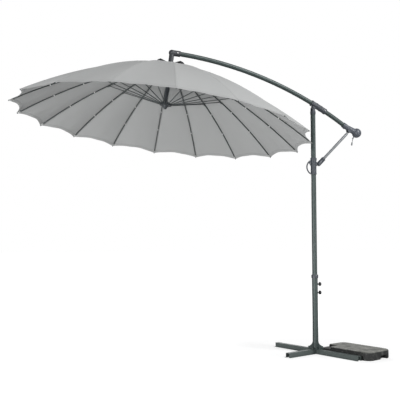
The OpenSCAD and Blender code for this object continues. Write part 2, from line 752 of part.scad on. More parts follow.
cross_bar_long();
cross_bar_short();
base_tube();
base_bolts();
tube_collar();
ballast_slab();
ballast_fill();
clamp_knob_upper();
clamp_knob_lower();
mast_tube();
mast_head();
slider();
strut();
arm_tube();
pivot_sleeve();
arm_elbow();
arm_bolts();
crown_hub();
crown_cap();
crank_housing();
crank_handle();
crank_grip();
runner_hub();
canopy();
rib(1);  // rib_01
rib(2);  // rib_02
rib(3);  // rib_03
rib(4);  // rib_04
rib(5);  // rib_05
rib(6);  // rib_06
rib(7);  // rib_07
rib(8);  // rib_08
rib(9);  // rib_09
rib(10);  // rib_10
rib(11);  // rib_11
rib(12);  // rib_12
rib(13);  // rib_13
rib(14);  // rib_14
rib(15);  // rib_15
rib(16);  // rib_16
rib(17);  // rib_17
rib(18);  // rib_18
stretcher(1);  // stretcher_01
stretcher(2);  // stretcher_02
stretcher(3);  // stretcher_03
stretcher(4);  // stretcher_04
stretcher(5);  // stretcher_05
stretcher(6);  // stretcher_06
stretcher(7);  // stretcher_07
stretcher(8);  // stretcher_08
stretcher(9);  // stretcher_09
stretcher(10);  // stretcher_10
stretcher(11);  // stretcher_11
stretcher(12);  // stretcher_12
stretcher(13);  // stretcher_13
stretcher(14);  // stretcher_14
stretcher(15);  // stretcher_15
stretcher(16);  // stretcher_16
stretcher(17);  // stretcher_17
stretcher(18);  // stretcher_18
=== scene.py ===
# %% [markdown]
# # Cantilever parasol
# A round canopy hangs from a bowed arm that tilts on a mast, and a crossed foot
# with a ballast slab holds it all up. The solid model brings every tube, joint and
# fastener. This lesson adds the cloth, the finishes, the light and the camera.

# %% Load the solids
import math

import bmesh
import bpy
from mathutils import Matrix, Vector


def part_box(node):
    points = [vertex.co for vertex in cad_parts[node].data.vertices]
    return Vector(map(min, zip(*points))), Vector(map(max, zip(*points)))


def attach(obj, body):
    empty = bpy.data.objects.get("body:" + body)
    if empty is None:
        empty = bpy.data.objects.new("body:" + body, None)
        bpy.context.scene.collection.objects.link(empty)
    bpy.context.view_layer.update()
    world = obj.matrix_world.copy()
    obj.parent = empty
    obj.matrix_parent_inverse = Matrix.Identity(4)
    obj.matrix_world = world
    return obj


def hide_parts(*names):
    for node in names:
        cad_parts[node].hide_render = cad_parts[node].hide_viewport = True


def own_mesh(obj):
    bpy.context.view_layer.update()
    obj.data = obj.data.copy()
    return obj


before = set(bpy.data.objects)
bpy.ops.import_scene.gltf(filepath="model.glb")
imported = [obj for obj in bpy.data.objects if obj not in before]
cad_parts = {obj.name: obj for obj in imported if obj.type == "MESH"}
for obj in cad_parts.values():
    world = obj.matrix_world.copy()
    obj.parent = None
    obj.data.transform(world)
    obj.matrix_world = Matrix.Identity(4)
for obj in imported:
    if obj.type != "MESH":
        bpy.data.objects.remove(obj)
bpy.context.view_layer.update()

# %% [markdown]
# ## The camera
# The parasol is seen from about eye height of a seated person, some six metres off,
# with a short telephoto lens, so the tubes stay nearly parallel. Position and lens
# are plain numbers, because a camera that is worked out from the model would move
# with every change to it.

# %% Place the camera
scene = bpy.context.scene
IMAGE = 400
FOCAL_PIXELS = 637.7
SENSOR = 36.0
EYE = (-3.225, -5.454, 1.068)
LOOK_UP, LOOK_RIGHT = 3.79, 20.45

camera_data = bpy.data.cameras.new("camera")
camera_data.sensor_width = SENSOR
camera_data.lens = FOCAL_PIXELS / IMAGE * SENSOR
camera = bpy.data.objects.new("camera", camera_data)
camera.location = EYE
camera.rotation_euler = (math.radians(90 + LOOK_UP), 0.0, math.radians(-LOOK_RIGHT))
scene.collection.objects.link(camera)
scene.camera = camera
print("lens", round(camera_data.lens, 1), "mm")

# %% [markdown]
# ## Shader arithmetic
# A finish is easier to read as a formula than as a web of nodes. The class Wire
# holds one socket and turns plus, minus, times, less-than and greater-than into Math
# nodes. Any other node comes from the method node, and colours go through mix,
# because a Math node would turn them grey.

# %% A small class for shader maths
# The Mix node has a set of sockets for each type. These are the ones for colours.
MIX_FACTOR, MIX_A, MIX_B, MIX_RESULT = 0, 6, 7, 2


class Wire:
    """One socket of a node tree, with arithmetic. Without a socket it only adds nodes."""

    def __init__(self, tree, socket=None):
        self.tree, self.socket = tree, socket

    def math(self, kind, a, b=None):
        values = {0: a} if b is None else {0: a, 1: b}
        return self.node("ShaderNodeMath", {"operation": kind}, values)

    def __add__(self, other):
        return self.math("ADD", self, other)

    def __radd__(self, other):
        return self.math("ADD", other, self)

    def __sub__(self, other):
        return self.math("SUBTRACT", self, other)

    def __rsub__(self, other):
        return self.math("SUBTRACT", other, self)

    def __mul__(self, other):
        return self.math("MULTIPLY", self, other)

    def __rmul__(self, other):
        return self.math("MULTIPLY", other, self)

    def __lt__(self, other):
        return self.math("LESS_THAN", self, other)

    def __gt__(self, other):
        return self.math("GREATER_THAN", self, other)

    def abs(self):
        return self.math("ABSOLUTE", self)

    def sine(self):
        return self.math("SINE", self)

    def fract(self):
        return self.math("FRACT", self)

    def larger(self, other):
        return self.math("MAXIMUM", self, other)

    def clamp(self):
        return self.node("ShaderNodeClamp", {}, {0: self})

    def node(self, kind, settings, values, out=0):
        """Add a node: settings are its properties, values its inputs, out its output."""
        made = self.tree.nodes.new(kind)
        for key, value in settings.items():
            if key == "stops":
                for element, (place, shade) in zip(made.color_ramp.elements, value):
                    element.position = place
                    element.color = (shade, shade, shade, 1)
            else:
                setattr(made, key, value)
        for key, value in values.items():
            connect(self.tree, value, made.inputs[key])
        return Wire(self.tree, made.outputs[out])

    def noise(self, scale, detail, rough=0.55):
        """Noise between 0 and 1 over these coordinates."""
        values = {"Vector": self, "Scale": scale, "Detail": detail, "Roughness": rough}
        return self.node("ShaderNodeTexNoise", {}, values)

    def ramp(self, first, last):
        """A grey ramp between two (place, shade) stops."""
        return self.node("ShaderNodeValToRGB", {"stops": (first, last)}, {0: self})

    def mix(self, a, b):
        """Colour a where this wire is 0 and colour b where it is 1."""
        first, second = (c if isinstance(c, Wire) else (*c, 1.0) for c in (a, b))
        values = {MIX_FACTOR: self, MIX_A: first, MIX_B: second}
        return self.node("ShaderNodeMix", {"data_type": "RGBA"}, values, MIX_RESULT)

    def part(self, axis):
        """One number of a vector: 0 is X, 1 is Y and 2 is Z."""
        return self.node("ShaderNodeSeparateXYZ", {}, {0: self}, axis)


def connect(tree, value, socket):
    """Link a wire to a socket, or set the socket to a plain value."""
    if isinstance(value, Wire):
        tree.links.new(value.socket, socket)
    else:
        socket.default_value = value


def node_of_type(tree, kind):
    return next(node for node in tree.nodes if node.type == kind)


def finish(name, paint):
    """A material that paint(place, put, bump) fills in: place is the piece's own
    coordinates, put sets or links shader inputs, and bump adds a relief."""
    material = bpy.data.materials.new(name)
    material.use_nodes = True
    tree = material.node_tree
    shader = node_of_type(tree, "BSDF_PRINCIPLED")
    coordinates = tree.nodes.new("ShaderNodeTexCoord")
    place = Wire(tree, coordinates.outputs["Object"])
    place.uv = Wire(tree, coordinates.outputs["UV"])

    def put(**sockets):
        for key, value in sockets.items():
            connect(tree, value, shader.inputs[key.replace("_", " ")])

    def bump(height, strength, distance):
        values = {"Strength": strength, "Distance": distance, "Height": height}
        put(Normal=height.node("ShaderNodeBump", {}, values))

    paint(place, put, bump)
    return material


def lighter(colour, factor):
    """The colour times factor, with no part over 1."""
    return tuple(min(1.0, part * factor) for part in colour)


print("shader class ready")

# %% [markdown]
# ## Light
# Soft light from all round shows a garden parasol as it looks under a bright sky.
# Five square lamps add to it: one in front, one high on the right, one at the right,
# one behind, and a low one at the left that reaches up under the cloth. The world is
# white only for the camera, so that the background doesn't light the object.

# %% World and lamps
scene.view_settings.view_transform = "Standard"
WHITE = (1.0, 1.0, 1.0, 1.0)
SKY_COLOUR, SKY_LIGHT = (0.98, 0.99, 1.0, 1.0), 0.30

world = bpy.data.worlds.new("studio")
scene.world = world
world.use_nodes = True
sky = world.node_tree
sky.nodes.clear()
sky_nodes = Wire(sky)
seen = sky_nodes.node("ShaderNodeBackground", {}, {"Color": WHITE, "Strength": 1.0})
around = sky_nodes.node("ShaderNodeBackground", {}, {"Color": SKY_COLOUR, "Strength": SKY_LIGHT})
straight = sky_nodes.node("ShaderNodeLightPath", {}, {}, "Is Camera Ray")
passed = sky_nodes.node("ShaderNodeLightPath", {}, {}, "Is Transmission Ray")
sky_values = {0: straight.larger(passed), 1: around, 2: seen}
sky_surface = sky_nodes.node("ShaderNodeMixShader", {}, sky_values)
connect(sky, sky_surface, sky.nodes.new("ShaderNodeOutputWorld").inputs[0])


def soft_lamp(name, place, target, size, watts):
    """A square lamp at place that faces target."""
    data = bpy.data.lights.new(name, "AREA")
    data.shape = "SQUARE"
    data.size = size
    data.energy = watts
    lamp = bpy.data.objects.new(name, data)
    lamp.location = place
    aim = Vector(target) - Vector(place)
    lamp.rotation_euler = aim.to_track_quat("-Z", "Y").to_euler()
    scene.collection.objects.link(lamp)


soft_lamp("front_lamp", (-4.6, -5.8, 1.2), (-0.9, 0.0, 1.8), 2.4, 190)
soft_lamp("high_lamp", (2.6, -4.8, 6.2), (-0.9, 0.0, 1.8), 2.4, 385)
soft_lamp("side_lamp", (3.4, -6.4, 1.6), (-0.2, 0.0, 1.6), 1.6, 130)
soft_lamp("back_lamp", (1.5, 7.0, 3.6), (-0.6, 0.0, 1.6), 3.0, 200)
soft_lamp("low_lamp", (-5.9, -1.6, 0.8), (-0.2, 0.3, 2.2), 1.2, 135)

# %% [markdown]
# ## The floor
# The floor is a plain pale sheet that catches the shadow and bounces a little light
# up under the foot. Away from the foot it should melt into the white background. So
# for the camera alone it also glows, more with the distance from the foot, which
# leaves the shadow and the light on the object as they are.

# %% Make the floor
FLOOR_HALF, FLOOR_DROP = 60.0, 0.0005
FOOT_CENTRE = (0.15, 0.15, 0.0)
GLOW_START, GLOW_END = 0.75, 2.4
GLOW_NEAR, GLOW_FAR = 0.52, 0.88


def paint_floor(place, put, bump):
    cloudy = place.noise(0.8, 2.0)
    put(Base_Color=cloudy.mix((0.48, 0.48, 0.48), (0.52, 0.52, 0.52)))
    put(Roughness=0.9, Specular_IOR_Level=0.1)


def add_camera_glow(tree):
    """For camera rays alone, add a glow that rises with the distance from the foot."""
    nodes = Wire(tree)
    plain = Wire(tree, node_of_type(tree, "BSDF_PRINCIPLED").outputs[0])
    spot = nodes.node("ShaderNodeNewGeometry", {}, {}, "Position")
    away = nodes.node("ShaderNodeVectorMath", {"operation": "DISTANCE"}, {0: spot, 1: FOOT_CENTRE}, "Value")
    rise = {"Value": away, "From Min": GLOW_START, "From Max": GLOW_END}
    rise.update({"To Min": GLOW_NEAR, "To Max": GLOW_FAR})
    level = nodes.node("ShaderNodeMapRange", {}, rise, "Result")
    glow = nodes.node("ShaderNodeEmission", {}, {"Color": level, "Strength": 1.0})
    glowing = nodes.node("ShaderNodeAddShader", {}, {0: plain, 1: glow})
    straight = nodes.node("ShaderNodeLightPath", {}, {}, "Is Camera Ray")
    surface = nodes.node("ShaderNodeMixShader", {}, {0: straight, 1: plain, 2: glowing})
    connect(tree, surface, node_of_type(tree, "OUTPUT_MATERIAL").inputs[0])


floor_corners = [(x * FLOOR_HALF, y * FLOOR_HALF, 0) for x, y in ((-1, -1), (1, -1), (1, 1), (-1, 1))]
floor_mesh = bpy.data.meshes.new("floor")
floor_mesh.from_pydata(floor_corners, [], [(0, 1, 2, 3)])
floor = bpy.data.objects.new("floor", floor_mesh)
floor.location.z = -FLOOR_DROP
scene.collection.objects.link(floor)
floor_finish = finish("floor_finish", paint_floor)
add_camera_glow(floor_finish.node_tree)
floor_mesh.materials.append(floor_finish)
print("floor laid")

# %% [markdown]
# ## Powder coat on the tubes
# The mast, the arm and the foot are steel and aluminium under an anthracite powder
# coat. Powder melts into a skin that is even in colour, with a fine orange peel, so
# the material is one colour with a shallow bump and a slightly uneven gloss.

# %% Powder coat


def powder_coat(name, dark, light, gloss):
    def paint(place, put, bump):
        tone = place.noise(6.0, 4.0)
        dust = place.noise(9.0, 3.0).ramp((0.45, 0.0), (0.75, 1.0))
        base = tone.mix(dark, light)
        put(Base_Color=(dust * 0.18).mix(base, lighter(light, 1.6)))
        put(Roughness=gloss + (tone - 0.5) * 0.04 + dust * 0.03)
        put(Metallic=0.25)
        peel = place.noise(160.0, 2.0)
        bump(peel, 0.02, 0.0001)
    return finish(name, paint)


tube_coat = powder_coat("tube_coat", (0.036, 0.051, 0.049), (0.046, 0.063, 0.061), 0.40)
foot_coat = powder_coat("foot_coat", (0.074, 0.091, 0.087), (0.098, 0.117, 0.113), 0.36)
rib_coat = powder_coat("rib_coat", (0.060, 0.070, 0.070), (0.085, 0.095, 0.095), 0.42)
print("powder coats ready")

# %% [markdown]
# ## Moulded plastic
# The joints are injection moulded. Spark-eroded moulds leave a fine grain, which
# breaks up the highlight, and handling polishes the high spots.

# %% Moulded plastic


def moulded(name, dark, light, gloss):
    def paint(place, put, bump):
        tone = place.noise(14.0, 3.0)
        speck = place.noise(260.0, 2.0).ramp((0.55, 0.0), (0.72, 1.0))
        base = tone.mix(dark, light)
        put(Base_Color=(speck * 0.30).mix(base, lighter(light, 1.7)))
        put(Roughness=gloss + (tone - 0.5) * 0.14)
        bump(place.noise(420.0, 2.0), 0.04, 0.0002)
    return finish(name, paint)


joint_plastic = moulded("joint_plastic", (0.034, 0.040, 0.049), (0.048, 0.055, 0.067), 0.38)
housing_plastic = moulded("housing_plastic", (0.058, 0.066, 0.080), (0.080, 0.090, 0.107), 0.36)
elbow_plastic = moulded("elbow_plastic", (0.026, 0.028, 0.032), (0.050, 0.053, 0.060), 0.42)
black_plastic = moulded("black_plastic", (0.012, 0.013, 0.015), (0.024, 0.025, 0.028), 0.45)
hub_plastic = moulded("hub_plastic", (0.022, 0.026, 0.030), (0.040, 0.046, 0.052), 0.40)
print("plastics ready")

# %% [markdown]
# ## Bare metal
# The strut, the crank and the screws are bare metal, duller on the first two and
# bright on the last. Handled metal is never quite even, so a soft cloudy noise varies
# the tone and the gloss a little.

# %% Bare metals


def bare_metal(name, tint, gloss, metal):
    def paint(place, put, bump):
        stretch = {"Vector": place, "Scale": (9.0, 14.0, 9.0)}
        cloudy = place.node("ShaderNodeMapping", {}, stretch).noise(1.0, 2.0)
        put(Base_Color=cloudy.mix(lighter(tint, 0.92), tint), Metallic=metal)
        put(Roughness=gloss + (cloudy - 0.5) * 0.10)
        bump(cloudy, 0.02, 0.0001)
    return finish(name, paint)


strut_metal = bare_metal("strut_metal", (0.185, 0.195, 0.205), 0.40, 0.2)
screw_metal = bare_metal("screw_metal", (0.62, 0.62, 0.62), 0.28, 1.0)
print("metals ready")

# %% [markdown]
# ## Finishes on the solids
# Each solid takes its finish from a short list, so that one place says what every
# piece of the real parasol is made of.

# %% Give every solid its finish
RIBS = 18
FINISH = {
    tube_coat: ["mast_tube", "arm_tube", "base_tube"],
    foot_coat: ["cross_bar_long", "cross_bar_short", "base_bolts"],
    joint_plastic: ["slider", "pivot_sleeve", "mast_head", "tube_collar"],
    housing_plastic: ["crank_housing"],
    elbow_plastic: ["arm_elbow"],
    hub_plastic: ["crown_hub", "runner_hub"],
    black_plastic: ["crown_cap", "clamp_knob_upper", "clamp_knob_lower"],
    strut_metal: ["strut", "crank_grip", "crank_handle"],
    screw_metal: ["arm_bolts"],
    rib_coat: [f"{part}_{rib + 1:02d}" for part in ("rib", "stretcher") for rib in range(RIBS)],
}
for material, names in FINISH.items():
    for name in names:
        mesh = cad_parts[name].data
        mesh.materials.clear()
        mesh.materials.append(material)
print("finished", sum(len(n) for n in FINISH.values()), "solids")

# %% [markdown]
# ## Smooth tubes
# A long bent tube looks best as a fine sweep: one ring of points carried along a
# line, with the rings close together where the line bends. The arm is swept on its
# arc, and the strut is drawn with a separate moulded socket over its lower end.

# %% Helpers for meshes


def add_piece(name, mesh, material):
    """A piece of this mesh and material, in the scene."""
    piece = bpy.data.objects.new(name, mesh)
    scene.collection.objects.link(piece)
    mesh.materials.append(material)
    return piece


def join_rings(made, rings):
    """Faces of four corners between each ring of points and the next."""
    for low, high in zip(rings, rings[1:]):
        count = len(low)
        for k in range(count):
            made.faces.new((low[k], low[(k + 1) % count], high[(k + 1) % count], high[k]))


def to_mesh(name, made):
    mesh = bpy.data.meshes.new(name)
    made.to_mesh(mesh)
    made.free()
    return mesh


def smooth_sides(mesh):
    """Shade the faces of four corners smooth and leave the end faces flat."""
    for face in mesh.polygons:
        face.use_smooth = len(face.vertices) == 4


# %% Sweep helper


def swept(name, line, radii, material, around=40):
    """A round bar through the points of line, with one radius for each point."""
    made = bmesh.new()
    last = len(line) - 1
    side = (line[1] - line[0]).normalized().orthogonal()
    rings = []
    for k, (point, radius) in enumerate(zip(line, radii)):
        ahead = (line[min(k + 1, last)] - line[max(k - 1, 0)]).normalized()
        side = (side - ahead * side.dot(ahead)).normalized()
        up = ahead.cross(side)
        turns = [2 * math.pi * a / around for a in range(around)]
        rim = [point + radius * (math.cos(turn) * side + math.sin(turn) * up) for turn in turns]
        rings.append([made.verts.new(place) for place in rim])
    join_rings(made, rings)
    for ring, order in ((rings[0], -1), (rings[-1], 1)):
        made.faces.new([made.verts.new(corner.co) for corner in ring][::order])
    mesh = to_mesh(name, made)
    smooth_sides(mesh)
    return add_piece(name, mesh, material)


def stepped(name, start, end, steps, material):
    """A turned piece on a line: steps are (distance, radius) pairs, close at sharp edges."""
    ahead = (end - start).normalized()
    line = [start + ahead * distance for distance, _ in steps]
    return swept(name, line, [radius for _, radius in steps], material)


print("sweep ready")

# %% Arm tube
ARC_X, ARC_Z, ARC_RADIUS = -1.6013, -0.9273, 3.7243
ARM_RADIUS = 0.0215
PIVOT_SLOPE, TAIL = math.radians(25.76), 0.403
ARM_STEPS, ARM_AROUND = 60, 48


def arm_point(turn):
    """Point of the arm's centreline at this angle from the top of its arc."""
    return Vector((ARC_X + ARC_RADIUS * math.sin(turn), 0.0, ARC_Z + ARC_RADIUS * math.cos(turn)))


# The upper end stays a millimetre inside the elbow. The lower end is a tail of this
# length past the pivot, where the arc slopes by PIVOT_SLOPE.
arm_low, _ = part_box("arm_tube")
arm_start = math.asin((arm_low[0] + 0.001 - ARC_X) / ARC_RADIUS)
arm_end = PIVOT_SLOPE + TAIL / ARC_RADIUS
arm_line = [arm_point(arm_start + (arm_end - arm_start) * k / ARM_STEPS) for k in range(ARM_STEPS + 1)]
arm = swept("arm_tube_skin", arm_line, [ARM_RADIUS] * len(arm_line), tube_coat, ARM_AROUND)
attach(arm, "arm")
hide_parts("arm_tube")
print("arm from", [round(c, 3) for c in arm_line[0]], "to", [round(c, 3) for c in arm_line[-1]])

# %% Strut and socket
STRUT_PIN = Vector((0.060, 0.0, 1.840))
STRUT_TOP = Vector((0.40894, 0.0, 2.17815))
strut_length = (STRUT_TOP - STRUT_PIN).length

# (distance from the lower pin, radius). Two steps close together make an edge.
TUBE_STEPS = [
    (0.066, 0.0115), (0.070, 0.0135), (strut_length - 0.036, 0.0135),
    (strut_length - 0.030, 0.0128), (strut_length - 0.022, 0.0095)]
SOCKET_STEPS = [
    (-0.014, 0.0190), (-0.012, 0.0210), (-0.009, 0.0220), (0.058, 0.0220), (0.0585, 0.0212),
    (0.0605, 0.0212), (0.061, 0.0220), (0.074, 0.0220), (0.077, 0.0208), (0.078, 0.0185)]
TIP_STEPS = [
    (strut_length - 0.028, 0.0070), (strut_length - 0.026, 0.0085), (strut_length + 0.004, 0.0085),
    (strut_length + 0.009, 0.0070), (strut_length + 0.011, 0.0040)]
strut = stepped("strut_tube", STRUT_PIN, STRUT_TOP, TUBE_STEPS, strut_metal)
socket = stepped("strut_socket", STRUT_PIN, STRUT_TOP, SOCKET_STEPS, joint_plastic)
tongue = stepped("strut_tip", STRUT_PIN, STRUT_TOP, TIP_STEPS, strut_metal)
for piece, slot_name in ((strut, "strut_metal"), (socket, "dark_plastic"), (tongue, "strut_metal")):
    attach(piece, "strut")
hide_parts("strut")
print("strut length", round(strut_length, 3))

# %% [markdown]
# ## The canopy's shape
# Eighteen ribs carry eighteen gores. Along a rib the cloth follows the rib. Between
# two ribs it is pulled tight, so it runs a little inside the round and dips, and its
# edge is drawn into a shallow arc. One formula gives every point, which makes the
# canopy one continuous sheet however it is divided.

# %% Canopy formula
RADIUS, RISE, BULGE = 1.350, 0.600, 0.55
TILT, PHASE = math.radians(7.0), math.radians(16.8)
GORE = math.radians(360 / RIBS)

# Midway between two ribs the sheet is drawn in by these shares of the radius, at the
# edge and at the crown. There it also sags inside the rim and lifts at the rim, and
# from WAVE_START outward it waves a little, differently in each gore.
EDGE_DRAW, CROWN_DRAW = 0.055, 0.015
SAG, LIFT = 0.008, 0.018
WAVE, WAVE_START, WAVE_TURNS, WAVE_SHIFT = 0.0022, 0.8, 7.0, 2.1
CENTRE = Vector((-1.551, 0.0, 2.098))
AXIS = Vector((math.sin(TILT), 0.0, math.cos(TILT)))
ACROSS = Vector((math.cos(TILT), 0.0, -math.sin(TILT)))
SIDE = Vector((0.0, 1.0, 0.0))
INNER = 0.024 / RADIUS


def on_canopy(angle, radius, height):
    """A point of the tilted canopy frame in the shared frame."""
    return CENTRE + radius * (math.cos(angle) * ACROSS + math.sin(angle) * SIDE) + height * AXIS


def rib_angle(rib):
    return PHASE + GORE * rib


def profile(t):
    """Height of a rib at t, from 0 at the crown to 1 at the rim."""
    return RISE * (1 - t) * (1 + BULGE * t)


def cloth(rib, f, t, lift=0.0):
    """Cloth point in the gore after rib (0 to 17), f from -1 at it to 1 at the next."""
    slack = 1 - f * f
    draw = CROWN_DRAW + (EDGE_DRAW - CROWN_DRAW) * t * t
    dip = SAG * t * t * (1 - t) * 27 / 4
    ripple = math.sin(WAVE_TURNS * f + WAVE_SHIFT * rib)
    wave = WAVE * ripple * slack * max(0.0, t - WAVE_START) / (1 - WAVE_START)
    height = profile(t) + slack * (LIFT * t ** 4 - dip) - wave + lift
    return on_canopy(rib_angle(rib) + GORE / 2 * (f + 1), RADIUS * t * (1 - slack * draw), height)


def cloth_normal(rib, f, t):
    """The sheet's outward direction, from two short steps on it."""
    step = 1e-3
    f_low, f_high = max(-1.0, f - step), min(1.0, f + step)
    t_low, t_high = max(INNER, t - step), min(1.0, t + step)
    along = cloth(rib, f, t_high) - cloth(rib, f, t_low)
    across = cloth(rib, f_high, t) - cloth(rib, f_low, t)
    normal = along.cross(across).normalized()
    return normal if normal.dot(AXIS) > 0 else -normal


print("rim radius", RADIUS, "crown", round(profile(INNER), 3))

# %% [markdown]
# ## The cloth
# The cover is a plain-woven polyester in a light neutral grey. From a few metres the
# weave is only a faint tooth, so it is a fine bump and a very small change of tone.
# Each seam lies over a rib, with a line of stitches on each side, and the hem is
# folded twice. The band over each rib is also painted a little darker, as painted
# shade along the crease there. The underside is painted darker near the crown, as
# shade where the folded frame keeps the sky out. The sheet's map runs across the
# panel and from crown to edge, so the seam over the rib is at its middle.

# %% Cloth finish
SEAM_HALF, STITCH_LINE, STITCH_HALF = 0.012, 0.019, 0.0028
HEM_START, HEM_STITCH, HEM_STITCH_HALF = 0.978, 0.980, 0.0012


def sew_and_shade(across, down, height, base, thread_and_shade):
    """Add the seams, the hem and their rows of stitches to the relief and the colour, with painted shade
    along the crease over the rib.
    """
    rib_side = (across - 0.5).abs()
    seam_and_shade = rib_side < SEAM_HALF
    hem = down > HEM_START
    stitch = ((rib_side - STITCH_LINE).abs() < STITCH_HALF) * ((down * 260.0).fract() < 0.62)
    hem_row = ((down - HEM_STITCH).abs() < HEM_STITCH_HALF) * ((across * 90.0).fract() < 0.6)
    # The band over the rib goes a little toward the dark colour: painted shade along the crease there. Its
    # ridge in the relief is the real seam.
    marks = (stitch * 0.55 + hem_row * 0.6 + seam_and_shade * 0.12 + hem * 0.10).clamp()
    relief = height + seam_and_shade * 1.6 + hem * 1.2 - stitch * 1.0 - hem_row * 1.0
    return relief, marks.mix(base, thread_and_shade)


def paint_underside_shade(place, down, base, shade):
    """Paint shade on the back of the sheet near the crown, where the folded frame keeps the sky out."""
    inside = place.node("ShaderNodeNewGeometry", {}, {}, "Backfacing")
    return (inside * (1.0 - down.ramp((0.20, 0.0), (0.52, 1.0))) * 0.55).mix(base, shade)


def woven(name, dark, light, sewn_and_shaded=False):
    """Plain weave between two tones, and when asked, seams, a hem, painted shade along the seams and
    painted shade under the crown.
    """
    def paint(place, put, bump):
        across, down = place.uv.part(0), place.uv.part(1)
        weave = (across * 2600.0).sine() * (down * 3400.0).sine()
        cloudy = place.noise(3.0, 4.0)
        slub = place.noise(190.0, 3.0)
        base = (cloudy * 0.5 + slub * 0.35).mix(dark, light)
        height = weave * 0.25 + slub * 0.5
        if sewn_and_shaded:
            height, base = sew_and_shade(across, down, height, base, lighter(dark, 0.62))
            # Painted shade: the back of the sheet goes darker near the crown, where the folded frame keeps
            # the sky out.
            base = paint_underside_shade(place, down, base, lighter(dark, 0.45))
        put(Base_Color=base, Roughness=0.86 + (cloudy - 0.5) * 0.1)
        put(Specular_IOR_Level=0.25, Sheen_Weight=0.15, Sheen_Roughness=0.5)
        bump(height, 0.30, 0.0007)
    return finish(name, paint)


cover_cloth = woven("cover_cloth", (0.350, 0.356, 0.354), (0.410, 0.416, 0.414), sewn_and_shaded=True)
tape_cloth = woven("tape_cloth", (0.330, 0.336, 0.334), (0.390, 0.396, 0.394))
tie_cloth = woven("tie_cloth", (0.66, 0.66, 0.65), (0.78, 0.78, 0.77))
print("cloth ready")

# %% [markdown]
# ## Cutting the canopy into panels
# When the parasol closes, each rib carries the cloth on both of its sides. So the
# sheet is divided at the middle of each gore, and each panel rides on its rib. The
# normals come from the formula and not from the panel's own edge, so no join can be
# seen while the canopy is open.

# %% Build the panels
COLUMNS, ROWS = 12, 44


def grid_piece(name, points, faces, normals, uvs, material):
    """A piece with its own normals and map, which are given corner by corner."""
    mesh = bpy.data.meshes.new(name)
    mesh.from_pydata([tuple(p) for p in points], [], faces)
    mesh.update()
    layer = mesh.uv_layers.new(name="UVMap")
    for corner, uv in zip(layer.data, uvs):
        corner.uv = uv
    for face in mesh.polygons:
        face.use_smooth = True
    mesh.normals_split_custom_set(normals)
    return add_piece(name, mesh, material)


def panel_spots(rib):
    """Column places of a panel: (gore, f, u), with the rib itself twice, once a side."""
    left = [((rib - 1) % RIBS, k / COLUMNS, 0.5 * k / COLUMNS) for k in range(COLUMNS + 1)]
    right = [(rib, -1 + k / COLUMNS, 0.5 + 0.5 * k / COLUMNS) for k in range(COLUMNS + 1)]
    return left, right


def panel_grid(rib, rows):
    """Points, faces, normals and map of the panel of one rib."""
    left, right = panel_spots(rib)
    line = left + right[1:]
    points = [cloth(gore, f, t) for t in rows for gore, f, _ in line]
    faces, normals, uvs = [], [], []
    for j in range(len(rows) - 1):
        for half, start in ((left, 0), (right, COLUMNS)):
            for c in range(COLUMNS):
                first = j * len(line) + start + c
                faces.append((first, first + len(line), first + len(line) + 1, first + 1))
                for row, col in ((j, c), (j + 1, c), (j + 1, c + 1), (j, c + 1)):
                    gore, f, u = half[col]
                    normals.append(cloth_normal(gore, f, rows[row]))
                    uvs.append((u, rows[row]))
    return points, faces, normals, uvs


rows = [INNER + (1 - INNER) * j / ROWS for j in range(ROWS + 1)]
panels = []
for rib in range(RIBS):
    name = f"canopy_panel_{rib + 1:02d}"
    panels.append(grid_piece(name, *panel_grid(rib, rows), cover_cloth))

# %% [markdown]
# ## The hem
# The edge is folded over twice and sewn, so it is stiffer and a little thicker than
# the cloth. A narrow band just under the sheet gives it that thickness.

# %% Build the hem
# (t, distance above the sheet) of the band's four edges.
HEM_EDGES = [(0.9815, -0.0004), (0.9815, -0.0016), (1.0, -0.0022), (1.0008, -0.0006)]
HEM_MAP_STEP = 0.02


def hem_band(rib):
    """A flat band along the edge of one panel, under the cloth."""
    left, right = panel_spots(rib)
    line = left + right[1:]
    points = [cloth(gore, f, t, lift) for gore, f, _ in line for t, lift in HEM_EDGES]
    faces = []
    for c in range(len(line) - 1):
        for k in range(4):
            a, b = 4 * c + k, 4 * c + (k + 1) % 4
            faces.append((a, b, b + 4, a + 4))
    name = f"hem_{rib + 1:02d}"
    mesh = bpy.data.meshes.new(name)
    mesh.from_pydata([tuple(p) for p in points], [], faces)
    layer = mesh.uv_layers.new(name="UVMap")
    for corner, loop in zip(layer.data, mesh.loops):
        column, edge = divmod(loop.vertex_index, 4)
        corner.uv = (column / (2 * COLUMNS), edge * HEM_MAP_STEP)
    return add_piece(name, mesh, tape_cloth)


hems = [hem_band(rib) for rib in range(RIBS)]
print("hem bands:", len(hems))

# %% [markdown]
# ## Ties and pockets
# Short light tapes tie the cloth to each rib, and a small pocket at each rib's end
# takes its tip. Both are only a centimetre or two long, but they are what shows
# that the cloth is sewn to a frame.

# %% Ties and tip pockets
# A tape's middle lies this far under the sheet, level with the middle of the rib.
RIB_DEPTH = 0.0036 + 0.0050
LOOP_AROUND, LOOP_ROUND = 16, 0.5


def rounded(value, size):
    """A coordinate of a rounded rectangle from a sine or cosine."""
    return math.copysign(abs(value) ** LOOP_ROUND, value) * size / 2


def tape_loop(name, rib, t, long, wide, deep, material):
    """A rounded band round a rib at t along it."""
    here, there = (on_canopy(rib_angle(rib), RADIUS * at, profile(at) - RIB_DEPTH) for at in (t, t + 0.01))
    along = (there - here).normalized()
    side = AXIS.cross(along).normalized()
    up = along.cross(side).normalized()
    turns = [2 * math.pi * k / LOOP_AROUND for k in range(LOOP_AROUND)]
    outline = [(rounded(math.cos(a), wide), rounded(math.sin(a), deep)) for a in turns]
    made = bmesh.new()
    loops = []
    for x, swell in ((-long / 2, 0.96), (-long / 4, 1.03), (long / 4, 1.03), (long / 2, 0.96)):
        middle = here + along * x
        rim = [middle + side * (p * swell) + up * (q * swell) for p, q in outline]
        loops.append([made.verts.new(place) for place in rim])
    join_rings(made, loops)
    made.faces.new(loops[0][::-1])
    made.faces.new(loops[-1])
    mesh = to_mesh(name, made)
    smooth_sides(mesh)
    return add_piece(name, mesh, material)


